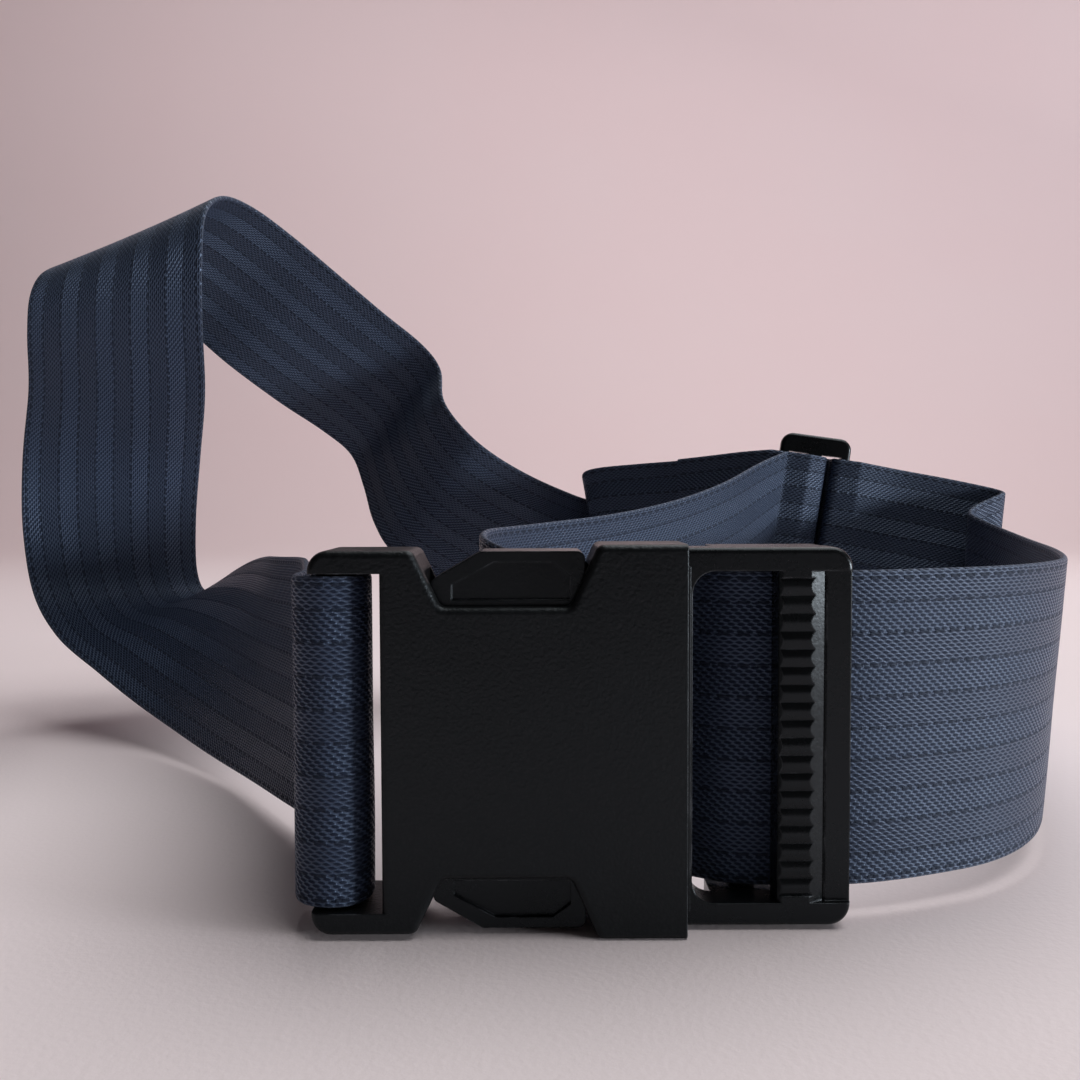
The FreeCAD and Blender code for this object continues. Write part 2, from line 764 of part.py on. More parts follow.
path, marks = fine_path()
planes = [section(f"section_{n}", path, n) for n in range(len(path))]
for (name, kind, stations), first, last in zip(RUNS, marks, marks[1:]):
    loft = doc.addObject("Part::Loft", name + "_loft")
    loft.Sections = planes[first : last + 1]
    loft.Solid, loft.Ruled, loft.Closed = True, True, False
    keep(loft, name)

# ---------------------------------------------------------------- stitching
# A box of stitches on the outer face of the sewn loop, seen from its left side.
seam_from, seam_to = Vector(-38.4, 20.2, 0), Vector(-43.7, 42.0, 0)
seam_dir = (seam_to - seam_from).normalize()
seam_out = Vector(-seam_dir.y, seam_dir.x, 0)
thread = "thread_wide"
frame_outer = block("seam_outer", ("0", "seam_length"), ("0", "thread_proud"), ("0", "seam_width"))
frame_inner = block(
    "seam_inner",
    (thread, f"seam_length - {thread}"),
    ("-1.0", "thread_proud + 1.0"),
    (thread, f"seam_width - {thread}"),
)
stitches = [cut("seam_frame", frame_outer, [frame_inner])]
cross_z = (f"seam_width / 2 - {thread} / 2", f"seam_width / 2 + {thread} / 2")
cross = block("seam_cross", ("0", "seam_length"), ("0", "thread_proud"), cross_z)
seam = fuse("seam_body", stitches + [cross])

doc.recompute()
seam_base = seam_from - seam_dir * 0.2 + seam_out * (D["web_thick"] / 2 + 0.1)
seam.Placement = Placement(
    Vector(seam_base.x, seam_base.y, MID - D["seam_width"] / 2),
    Rotation(seam_dir, seam_out, Vector(0, 0, 1), "XZY"),
)
keep(seam, "loop_stitching")

doc.recompute()
os.makedirs("parts", exist_ok=True)
for obj in doc.Objects:
    bad = [s for s in obj.State if s in ("Invalid", "Error")]
    if bad:
        raise SystemExit(f"{obj.Name} ({obj.Label}) is {bad}")
low, high = Vector(1e9, 1e9, 1e9), Vector(-1e9, -1e9, -1e9)
for obj in made:
    shape = obj.Shape
    if shape.isNull() or not shape.isValid() or shape.Volume < 1:
        raise SystemExit(f"{obj.Label} has no usable shape: null={shape.isNull()}")
    shape.exportStep(f"parts/{obj.Label}.step")
    box = shape.BoundBox
    low = Vector(min(low.x, box.XMin), min(low.y, box.YMin), min(low.z, box.ZMin))
    high = Vector(max(high.x, box.XMax), max(high.y, box.YMax), max(high.z, box.ZMax))
    print(f"{obj.Label}: {shape.Volume:.0f} mm3, {len(shape.Solids)} solid(s), {len(shape.Faces)} faces")
print(f"whole object: {low} to {high}")
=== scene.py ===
import math

import bpy
from mathutils import Matrix, Vector, noise


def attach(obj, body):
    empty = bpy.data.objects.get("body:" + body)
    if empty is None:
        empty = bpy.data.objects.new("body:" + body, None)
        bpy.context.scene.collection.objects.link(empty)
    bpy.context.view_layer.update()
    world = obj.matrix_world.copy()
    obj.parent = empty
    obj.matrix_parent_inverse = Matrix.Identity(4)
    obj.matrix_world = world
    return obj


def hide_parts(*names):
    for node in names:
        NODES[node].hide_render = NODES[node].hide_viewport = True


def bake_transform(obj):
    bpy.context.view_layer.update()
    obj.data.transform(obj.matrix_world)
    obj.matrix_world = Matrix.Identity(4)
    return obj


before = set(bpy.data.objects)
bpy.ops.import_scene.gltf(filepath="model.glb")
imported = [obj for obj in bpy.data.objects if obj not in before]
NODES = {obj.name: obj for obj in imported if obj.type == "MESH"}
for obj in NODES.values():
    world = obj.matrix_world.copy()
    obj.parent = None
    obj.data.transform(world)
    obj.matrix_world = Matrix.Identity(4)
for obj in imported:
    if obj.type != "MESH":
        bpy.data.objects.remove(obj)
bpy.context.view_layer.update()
scene = bpy.context.scene

# Stations are in mm, in the design's own coordinates; SHIFT brings them to the row frame.
SHIFT = Vector((7.44, -101.83, 0.0))
WIDTH, THICK = 49.0, 1.3  # of the webbing
MID = 29.0  # height of the buckle's middle
STEP = 1.0  # between two rows of the ribbon
SMOOTHING_PASSES = 3
BEND_RADIUS = 1.7  # of the webbing's middle, where it turns round a bar
CORNER = 0.7  # width of the selvage's rounding
CUP = 2.6  # that the upright's selvages stand forward of its middle
RIPPLE = 0.16  # height of the free webbing's unevenness
GLIDE_THICK = 4.0


# ------------------------------------------------------------------ the webbing's course
GLIDE_AT = Vector((78.5, 157.0, 52.5))
GLIDE_TURN = Matrix.Rotation(math.radians(-8), 3, "Z") @ Matrix.Rotation(math.radians(8.5), 3, "Y")
GLIDE_W = GLIDE_TURN @ Vector((0, 0, 1))


def in_glide(along, out):
    """A point near the adjuster: along the webbing, and out from its front face."""
    return GLIDE_AT + GLIDE_TURN @ Vector((along, out - GLIDE_THICK / 2, 0))


def standing(points):
    """Stations where the webbing stands upright."""
    return [(Vector(p), Vector((0, 0, 1))) for p in points]


def level(points):
    """Upright stations at the height of the buckle's middle."""
    return standing([(x, y, MID) for x, y in points])


def held(points):
    """Stations in the adjuster, given as for in_glide."""
    return [(in_glide(along, out), GLIDE_W) for along, out in points]


def twisting(points):
    """Stations that each say which way the webbing's width points."""
    return [(Vector(p), Vector(w)) for p, w in points]


# Each run: its name, how its stations are joined, and the stations as (centre, width's direction).
# "smooth" is a curve through them; "bent" is straight lines with a small arc at each corner.
# A run ends where the next one starts.
RUNS = [
    ("sewn_tail", "smooth", level([(-42.15, 42.4), (-39.2, 30.6), (-36.65, 20.0)])),
    (
        "bar_wrap",
        "smooth",
        level(
            [
                (-34.6, 14.0),
                (-31.6, 12.2),
                (-28.0, 11.0),
                (-26.3, 8.9),
                (-26.1, 6.2),
                (-26.5, 3.9),
                (-27.9, 2.3),
                (-30.9, 1.4),
                (-34.0, 2.1),
                (-36.0, 3.8),
                (-36.7, 6.3),
                (-36.9, 9.8),
                (-37.1, 13.4),
            ]
        ),
    ),
    ("sewn_lead", "smooth", level([(-38.4, 20.2), (-40.8, 30.2), (-43.7, 42.0)])),
    (
        "rise",
        "smooth",
        twisting(
            [
                ((-49.5, 55.0, 28.6), (0.05, 0.08, 1.0)),
                ((-65.5, 84.0, 27.5), (0.16, 0.18, 0.97)),
                ((-86.0, 118.0, 28.0), (0.40, 0.40, 0.83)),
                ((-106.0, 142.0, 30.0), (0.57, 0.64, 0.51)),
                ((-120.5, 154.0, 31.0), (0.64, 0.75, 0.16)),
            ]
        ),
    ),
    (
        "upright",
        "smooth",
        twisting(
            [
                ((-127.5, 159.0, 39.5), (0.72, 0.68, 0.08)),
                ((-129.0, 159.0, 56.0), (0.84, 0.54, 0.08)),
                ((-126.0, 153.0, 76.0), (0.94, 0.32, 0.06)),
                ((-120.0, 141.5, 95.0), (1.0, 0.07, 0.02)),
                ((-116.0, 131.5, 111.0), (1.0, -0.05, 0.04)),
            ]
        ),
    ),
    (
        "crown",
        "smooth",
        twisting(
            [
                ((-114.0, 128.5, 124.0), (0.98, -0.10, 0.14)),
                ((-112.5, 131.5, 134.0), (0.95, -0.15, 0.28)),
                ((-109.5, 142.0, 139.3), (0.91, -0.22, 0.35)),
                ((-103.0, 155.0, 138.3), (0.86, -0.32, 0.39)),
            ]
        ),
    ),
    (
        "fall",
        "smooth",
        twisting(
            [
                ((-93.0, 166.0, 131.0), (0.81, -0.36, 0.46)),
                ((-81.0, 173.0, 120.5), (0.79, -0.33, 0.51)),
                ((-67.5, 180.5, 109.5), (0.77, -0.36, 0.52)),
                ((-55.5, 187.0, 100.5), (0.73, -0.42, 0.53)),
            ]
        ),
    ),
    (
        "crease",
        "smooth",
        twisting(
            [
                ((-48.0, 187.5, 92.5), (0.67, -0.51, 0.53)),
                ((-44.5, 181.0, 81.5), (0.60, -0.58, 0.54)),
                ((-38.5, 175.5, 70.5), (0.65, -0.47, 0.59)),
            ]
        ),
    ),
    (
        "approach",
        "smooth",
        twisting(
            [
                ((-30.0, 175.0, 61.5), (0.69, -0.33, 0.64)),
                ((-14.0, 182.5, 51.5), (0.62, -0.27, 0.73)),
                ((2.5, 194.0, 43.0), (0.42, -0.16, 0.89)),
            ]
        ),
    ),
    (
        "left_fold",
        "smooth",
        twisting(
            [
                ((17.0, 201.5, 38.5), (0.18, -0.04, 0.98)),
                ((25.5, 202.6, 38.0), (0.06, 0.0, 1.0)),
                ((29.5, 199.6, 38.8), (0.02, 0.0, 1.0)),
                ((26.5, 196.4, 41.0), (-0.04, 0.0, 1.0)),
                ((20.5, 193.8, 45.5), (-0.14, 0.0, 0.98)),
                ((18.8, 190.2, 48.5), (-0.18, 0.0, 0.97)),
                ((22.0, 187.4, 50.0), (-0.14, 0.0, 0.99)),
            ]
        ),
    ),
    (
        "left_run",
        "smooth",
        twisting(
            [
                ((34.0, 180.6, 51.0), (-0.05, 0.02, 1.0)),
                ((48.5, 171.3, 52.0), (-0.02, 0.02, 1.0)),
                ((61.2, 160.2, 54.0), (0.08, 0.0, 1.0)),
            ]
        ),
    ),
    (
        "in_glide",
        "bent",
        held(
            [
                (-13.0, -0.95),
                (-5.6, -0.95),
                (-5.6, 6.65),
                (5.6, 6.65),
                (5.6, -0.95),
                (13.0, -0.95),
            ]
        ),
    ),
    (
        "right_run",
        "smooth",
        twisting(
            [
                ((102.5, 154.2, 48.4), (0.17, -0.01, 0.98)),
                ((116.0, 153.4, 45.8), (0.17, -0.01, 0.98)),
                ((126.5, 152.0, 43.5), (0.14, -0.02, 0.99)),
            ]
        ),
    ),
    (
        "right_fold",
        "smooth",
        twisting(
            [
                ((131.6, 150.2, 42.2), (0.10, -0.02, 1.0)),
                ((132.6, 147.0, 41.4), (0.08, -0.02, 1.0)),
                ((129.6, 144.6, 40.4), (0.07, -0.02, 1.0)),
                ((124.4, 143.2, 38.2), (0.05, -0.03, 1.0)),
                ((120.9, 140.4, 36.0), (0.03, -0.03, 1.0)),
                ((120.8, 136.4, 34.6), (0.02, -0.04, 1.0)),
            ]
        ),
    ),
    (
        "right_bend",
        "smooth",
        twisting(
            [
                ((122.2, 129.0, 32.8), (0.0, -0.05, 1.0)),
                ((121.5, 117.0, 31.2), (0.0, -0.05, 1.0)),
                ((116.2, 95.0, 29.8), (0.03, -0.03, 1.0)),
                ((106.0, 65.0, 29.2), (0.07, 0.0, 1.0)),
                ((95.5, 42.0, 29.0), (0.08, 0.0, 1.0)),
                ((86.0, 28.5, 29.0), (0.05, 0.0, 1.0)),
                ((74.5, 19.0, 29.0), (0.02, 0.0, 1.0)),
                ((61.5, 13.4, 29.0), (0.0, 0.0, 1.0)),
            ]
        ),
    ),
    (
        "lock_run",
        "smooth",
        level(
            [
                (51.0, 10.3),
                (44.0, 9.7),
                (36.0, 9.7),
                (31.6, 10.0),
                (28.0, 11.0),
                (21.5, 14.4),
                (14.0, 15.2),
            ]
        ),
    ),
    (
        "return_bend",
        "smooth",
        standing(
            [
                (4.0, 16.6, 30.0),
                (-3.6, 20.0, 31.4),
                (-8.6, 26.0, 33.0),
                (-10.2, 34.0, 34.0),
                (-9.4, 42.0, 34.5),
            ]
        ),
    ),
    (
        "return_run",
        "smooth",
        twisting(
            [
                ((-6.8, 51.0, 34.6), (0.0, -0.02, 1.0)),
                ((1.0, 65.0, 35.0), (-0.03, -0.04, 1.0)),
                ((18.8, 88.5, 36.6), (-0.06, -0.07, 1.0)),
                ((36.5, 108.5, 39.8), (-0.11, -0.12, 0.99)),
                ((51.5, 126.0, 44.3), (-0.11, -0.12, 0.99)),
                ((62.5, 142.0, 49.6), (-0.02, -0.06, 1.0)),
            ]
        ),
    ),
    (
        "end_loop",
        "bent",
        held(
            [
                (-9.0, -4.2),
                (-1.8, -4.2),
                (2.95, -1.0),
                (2.95, 5.0),
                (-2.95, 5.0),
                (-2.95, -2.6),
                (-13.0, -2.85),
            ]
        ),
    ),
    (
        "cut_end",
        "smooth",
        twisting(
            [
                ((60.0, 157.9, 53.8), (0.06, 0.0, 1.0)),
                ((51.9, 164.2, 52.8), (0.0, 0.02, 1.0)),
                ((43.9, 169.9, 52.0), (-0.02, 0.02, 1.0)),
            ]
        ),
    ),
]


def curve_point(p0, p1, p2, p3, t):
    """Catmull-Rom point between p1 and p2."""
    a = p1 * 2 + (p2 - p0) * t
    b = (p0 * 2 - p1 * 5 + p2 * 4 - p3) * (t * t)
    c = (p1 * 3 - p0 - p2 * 3 + p3) * (t * t * t)
    return (a + b + c) * 0.5


def bend(before, corner, after):
    """The stations of an arc in place of a corner."""
    least_turn, arc_step, share = math.radians(8), 22, 0.48
    back, ahead = before[0] - corner[0], after[0] - corner[0]
    turn = math.pi - back.angle(ahead)
    if turn < least_turn:
        return [corner]
    reach = min(BEND_RADIUS * math.tan(turn / 2), back.length * share, ahead.length * share)
    radius = reach / math.tan(turn / 2)
    start, end = back.normalized() * reach, ahead.normalized() * reach
    hub = (start + end).normalized() * math.hypot(radius, reach)
    steps = max(2, math.ceil(math.degrees(turn) / arc_step))
    stations = []
    for k in range(steps + 1):
        t = k / steps
        spoke = (start - hub) * math.sin((1 - t) * turn) + (end - hub) * math.sin(t * turn)
        stations.append((corner[0] + hub + spoke / math.sin(turn), corner[1]))
    return stations


def course():
    """The ribbon as rows [centre, width, free, distance], and the row where each run starts."""
    coarse = [(station, kind, name) for name, kind, stations in RUNS for station in stations]
    stations = []
    for n, (station, kind, name) in enumerate(coarse):
        around = [station]
        if kind == "bent" and 0 < n < len(coarse) - 1:
            around = bend(coarse[n - 1][0], station, coarse[n + 1][0])
        stations += [(s, kind, name) for s in around]
    rows, names = [], []
    last = len(stations) - 1
    for n in range(last):
        near = [stations[min(max(n + k, 0), last)] for k in (-1, 0, 1, 2)]
        straight = near[1][1] == near[2][1] == "bent"
        gap = (near[2][0][0] - near[1][0][0]).length
        steps = max(1, round(gap / STEP))
        for k in range(steps):
            t = k / steps
            if straight:
                centre = near[1][0][0].lerp(near[2][0][0], t)
                width = near[1][0][1].lerp(near[2][0][1], t)
            else:
                centre = curve_point(*[s[0][0] for s in near], t)
                width = curve_point(*[s[0][1] for s in near], t)
            rows.append([centre, width.normalized(), 0.0 if straight else 1.0])
            names.append(near[1][2])
    rows.append([stations[last][0][0].copy(), stations[last][0][1].normalized(), 0.0])
    names.append(stations[last][2])
    for _ in range(SMOOTHING_PASSES):
        smooth = [r[1].copy() for r in rows]
        centres = [r[0].copy() for r in rows]
        for n in range(1, len(rows) - 1):
            smooth[n] = (rows[n - 1][1] + rows[n][1] * 2 + rows[n + 1][1]).normalized()
            if min(rows[n - 1][2], rows[n][2], rows[n + 1][2]) > 0.5:
                centres[n] = (rows[n - 1][0] + rows[n][0] * 2 + rows[n + 1][0]) / 4
        for r, w, c in zip(rows, smooth, centres):
            r[1], r[0] = w, c
    distance, run_start = 0.0, {}
    for n, r in enumerate(rows):
        if n:
            distance += (r[0] - rows[n - 1][0]).length
        r.append(distance)
        run_start.setdefault(names[n], n)
    return rows, run_start


ROWS, RUN_START = course()
RUN_NAMES = [name for name, kind, stations in RUNS]


def cross_section():
    """Closed outline of the webbing cut across: (across, out) in mm, rounded at the selvages."""
    half, thin, strips = WIDTH / 2, THICK / 2, 22
    inner = [-half + CORNER + (WIDTH - 2 * CORNER) * k / strips for k in range(strips + 1)]
    turns = [math.radians(degrees) for degrees in (25, 50, 72, 90)]
    corner = [(half - CORNER + CORNER * math.sin(a), thin * math.cos(a)) for a in turns]
    top = [(x, thin) for x in inner]
    right = corner + [(x, -y) for x, y in reversed(corner[:-1])]
    bottom = [(x, -thin) for x in reversed(inner)]
    left = [(-x, -y) for x, y in corner] + [(-x, y) for x, y in reversed(corner[:-1])]
    return top + right + bottom + left


SECTION = cross_section()
HALF_WIDTH = WIDTH / 2000  # m


def rows_of(first, last):
    """The first row of one run and the last row of another."""
    start = RUN_START[first]
    after = RUN_NAMES.index(last) + 1
    end = RUN_START[RUN_NAMES[after]] if after < len(RUN_NAMES) else len(ROWS) - 1
    return start, end


def ribbon(name, first, last):
    """A stretch of webbing from the start of one run to the end of another, and its length, m."""
    start, end = rows_of(first, last)
    cup_from, cup_to = ROWS[RUN_START["upright"]][3], ROWS[RUN_START["crown"]][3]
    verts, faces, uvs = [], [], []
    size = len(SECTION)
    for n in range(start, end + 1):
        centre, width, free, distance = ROWS[n]
        heading = (ROWS[min(n + 1, len(ROWS) - 1)][0] - ROWS[max(n - 1, 0)][0]).normalized()
        out = heading.cross(width).normalized()
        along_cup = min(max((distance - cup_from) / (cup_to - cup_from), 0.0), 1.0)
        cup = CUP * math.sin(math.pi * along_cup) ** 2
        for across, thick in SECTION:
            ripple = 0.0
            if free:
                ripple = RIPPLE * noise.noise(Vector((across * 0.045, distance * 0.03, 3.1)))
            bow = cup * ((2 * across / WIDTH) ** 2 - 0.35)  # the mean over the width is about nil
            point = centre + width * across + out * (thick + ripple + bow)
            verts.append((point + SHIFT) / 1000)
            uvs.append((across / 1000 + HALF_WIDTH, distance / 1000))
    for n in range(end - start):
        for k in range(size):
            a, b = n * size + k, n * size + (k + 1) % size
            faces.append((a, b, b + size, a + size))
    rims = (0, (end - start) * size)
    faces.append(tuple(reversed(range(size))))
    faces.append(tuple(range(rims[1], rims[1] + size)))
    mesh = bpy.data.meshes.new(name)
    mesh.from_pydata(verts, [], faces)
    layer = mesh.uv_layers.new(name="webbing")
    for loop in mesh.loops:
        layer.data[loop.index].uv = uvs[loop.vertex_index]
    for face in mesh.polygons:
        face.use_smooth = len(face.vertices) == 4
    for edge in mesh.edges:
        low, high = sorted(edge.vertices)
        if any(rim <= low and high < rim + size for rim in rims):
            edge.use_edge_sharp = True
    mesh.update()
    obj = bpy.data.objects.new(name, mesh)
    scene.collection.objects.link(obj)
    return obj, (ROWS[end][3] - ROWS[start][3]) / 1000


# ------------------------------------------------------------------ materials
class Graph:
    """Short names for building a material's nodes."""

    def __init__(self, name):
        self.material = bpy.data.materials.new(name)
        self.material.use_nodes = True
        self.tree = self.material.node_tree
        self.shader = self.tree.nodes["Principled BSDF"]

    def node(self, kind, **settings):
        made = self.tree.nodes.new(kind)
        for key, value in settings.items():
            setattr(made, key, value)
        return made

    def feed(self, socket, value):
        if isinstance(value, bpy.types.NodeSocket):
            self.tree.links.new(value, socket)
        else:
            socket.default_value = value

    def math(self, operation, a, b=None, c=None):
        made = self.node("ShaderNodeMath", operation=operation)
        for socket, value in zip(made.inputs, (a, b, c)):
            if value is not None:
                self.feed(socket, value)
        return made.outputs[0]

    def span(self, value, low, high, to_low=0.0, to_high=1.0):
        """value from low..high brought smoothly to to_low..to_high, and held there outside."""
        made = self.node("ShaderNodeMapRange", interpolation_type="SMOOTHSTEP")
        ends = {"From Min": low, "From Max": high, "To Min": to_low, "To Max": to_high}
        for key, number in ends.items():
            made.inputs[key].default_value = number
        self.feed(made.inputs["Value"], value)
        return made.outputs[0]

    def mix(self, share, a, b):
        made = self.node("ShaderNodeMix", data_type="RGBA")
        self.feed(made.inputs[0], share)
        self.feed(made.inputs[6], a)
        self.feed(made.inputs[7], b)
        return made.outputs[2]

    def noise(self, vector, scale, detail=2.0, roughness=0.5):
        made = self.node("ShaderNodeTexNoise")
        self.feed(made.inputs["Vector"], vector)
        made.inputs["Scale"].default_value = scale
        made.inputs["Detail"].default_value = detail
        made.inputs["Roughness"].default_value = roughness
        return made.outputs[0]

    def bump(self, height, distance, normal=None):
        made = self.node("ShaderNodeBump")
        made.inputs["Distance"].default_value = distance
        self.feed(made.inputs["Height"], height)
        if normal is not None:
            self.feed(made.inputs["Normal"], normal)
        return made.outputs[0]


def webbing_material():
    """Seat-belt weave: lengthwise bands of twill that lean opposite ways, and dashed lines; painted
    sheen on alternate bands and painted shade in the gaps between threads.
    """
    thread_pitch, pick_pitch, band_width, dash_pitch = 0.000557, 0.00145, 0.0049, 0.0029  # m
    hem_at, hem_from, hem_to, worn_from = 0.0233, 0.00022, 0.00036, 0.0238
    g = Graph("woven_webbing")
    uv = g.node("ShaderNodeUVMap", uv_map="webbing")
    split = g.node("ShaderNodeSeparateXYZ")
    g.feed(split.inputs[0], uv.outputs[0])
    across, along = split.outputs[0], split.outputs[1]
    place = g.node("ShaderNodeTexCoord").outputs["Object"]

    # Threads side by side, each swaying and dipping once in every pick.
    wander = g.math("MULTIPLY_ADD", g.noise(uv.outputs[0], 260.0, 1.0), 0.30, -0.15)
    thread = g.math("DIVIDE", across, thread_pitch)
    pick = g.math("ADD", g.math("DIVIDE", along, pick_pitch), wander)
    band = g.math("DIVIDE", across, band_width)
    band_at = g.math("FRACT", band)
    odd = g.math("MODULO", g.math("FLOOR", band), 2.0)
    lean = g.math("MULTIPLY_ADD", odd, -2.0, 1.0)
    shift = g.math("MULTIPLY_ADD", lean, 0.055, 0.5)
    stagger = g.math("MULTIPLY", g.math("FLOOR", thread), shift)
    turn = g.math("MULTIPLY", g.math("ADD", pick, stagger), 2 * math.pi)
    sway = g.math("MULTIPLY", g.math("SINE", turn), 0.21)
    offset = g.math("ADD", g.math("SUBTRACT", g.math("FRACT", thread), 0.5), sway)
    slope = g.math("ABSOLUTE", g.math("MULTIPLY", offset, 2.22))
    crest = g.math("SUBTRACT", 1.0, g.math("POWER", slope, 2.0))
    crest = g.math("MAXIMUM", crest, 0.0)
    dip = g.math("MULTIPLY_ADD", g.math("COSINE", turn), 0.5, 0.5)
    depth = g.math("MULTIPLY_ADD", odd, -0.20, 0.50)
    gap = g.math("MULTIPLY", g.span(dip, 0.62, 0.96), depth)
    over = g.math("MULTIPLY", crest, g.math("SUBTRACT", 1.0, gap))

    # Dark dashes between the bands and a little inside each selvage.
    dash = g.math("PINGPONG", g.math("FRACT", g.math("DIVIDE", along, dash_pitch)), 0.5)
    dash = g.span(dash, 0.15, 0.22)
    border = g.span(g.math("PINGPONG", band_at, 0.5), 0.035, 0.075)
    border = g.math("MULTIPLY", g.math("SUBTRACT", 1.0, border), dash)
    edge = g.math("ABSOLUTE", g.math("SUBTRACT", across, HALF_WIDTH))
    hem = g.span(g.math("ABSOLUTE", g.math("SUBTRACT", edge, hem_at)), hem_from, hem_to)
    hem = g.math("MULTIPLY", g.math("SUBTRACT", 1.0, hem), dash)
    dark = g.math("MAXIMUM", g.math("MULTIPLY", border, 0.9), hem)

    # Fine fibres, long in the direction of the threads.
    fibre_place = g.node("ShaderNodeCombineXYZ")
    g.feed(fibre_place.inputs[0], g.math("MULTIPLY", across, 14000.0))
    g.feed(fibre_place.inputs[1], g.math("MULTIPLY", along, 1500.0))
    fibre = g.noise(fibre_place.outputs[0], 1.0, 2.0, 0.6)

    blotch = g.noise(place, 28.0, 3.0, 0.55)
    # Alternate bands take a lighter and a darker thread colour: this is painted sheen, banded as
    # the twill leans.
    thread_tone_painted_sheen = g.mix(odd, (0.048, 0.069, 0.115, 1), (0.030, 0.044, 0.077, 1))
    thread_tone_painted_sheen = g.mix(g.span(blotch, 0.35, 0.70, 0.0, 0.5), thread_tone_painted_sheen, (0.029, 0.041, 0.070, 1))
    thread_tone_painted_sheen = g.mix(g.span(fibre, 0.45, 0.85, 0.0, 0.45), thread_tone_painted_sheen, (0.085, 0.120, 0.190, 1))
    # Where the threads dip, the colour goes near-black: painted shade in the gaps between the
    # threads.
    colour = g.mix(g.span(over, 0.22, 0.85), (0.002, 0.004, 0.016, 1), thread_tone_painted_sheen)
    colour = g.mix(g.math("MULTIPLY", dark, 0.95), colour, (0.002, 0.003, 0.010, 1))
    worn = g.span(edge, worn_from, HALF_WIDTH, 0.0, 0.35)
    colour = g.mix(worn, colour, (0.085, 0.098, 0.130, 1))
    g.feed(g.shader.inputs["Base Color"], colour)

    lean_height = g.math("MULTIPLY", g.math("MULTIPLY", g.math("FRACT", thread), lean), 0.75)
    height = g.math("ADD", over, lean_height)
    height = g.math("SUBTRACT", height, g.math("MULTIPLY", dark, 0.7))
    height = g.math("ADD", height, g.math("MULTIPLY", fibre, 0.30))
    g.feed(g.shader.inputs["Normal"], g.bump(height, 0.00017))
    rough = g.span(over, 0.15, 0.85, 0.92, 0.35)
    duller = g.math("MULTIPLY_ADD", odd, 0.05, g.math("MULTIPLY", dark, 0.4))
    rough = g.math("MINIMUM", g.math("ADD", rough, duller), 1.0)
    g.feed(g.shader.inputs["Roughness"], rough)
    g.shader.inputs["Specular IOR Level"].default_value = 0.8
    g.shader.inputs["Specular Tint"].default_value = (0.56, 0.72, 1.0, 1)
    g.shader.inputs["Anisotropic"].default_value = 0.75
    tangent = g.node("ShaderNodeTangent", direction_type="UV_MAP", uv_map="webbing")
    g.feed(g.shader.inputs["Tangent"], tangent.outputs[0])
    g.shader.inputs["Sheen Weight"].default_value = 0.06
    g.shader.inputs["Sheen Roughness"].default_value = 0.35
    g.shader.inputs["Sheen Tint"].default_value = (0.62, 0.72, 1.0, 1)
    return g.material


def thread_material():
    """Twisted sewing thread."""
    g = Graph("sewing_thread")
    place = g.node("ShaderNodeTexCoord").outputs["Object"]
    wave = g.node("ShaderNodeTexWave", wave_type="BANDS", bands_direction="DIAGONAL")
    g.feed(wave.inputs["Vector"], place)
    wave.inputs["Scale"].default_value = 900.0
    wave.inputs["Distortion"].default_value = 1.5
    ply = wave.outputs[1]
    fuzz = g.noise(place, 5200.0, 2.0)
    colour = g.mix(ply, (0.020, 0.028, 0.050, 1), (0.060, 0.075, 0.115, 1))
    colour = g.mix(g.span(fuzz, 0.55, 0.8, 0.0, 0.5), colour, (0.11, 0.13, 0.17, 1))
    g.feed(g.shader.inputs["Base Color"], colour)
    height = g.math("ADD", ply, g.math("MULTIPLY", fuzz, 0.4))
    g.feed(g.shader.inputs["Normal"], g.bump(height, 0.00006))
    g.feed(g.shader.inputs["Roughness"], g.span(fuzz, 0.3, 0.7, 0.45, 0.7))
    g.shader.inputs["Sheen Weight"].default_value = 0.2
    return g.material


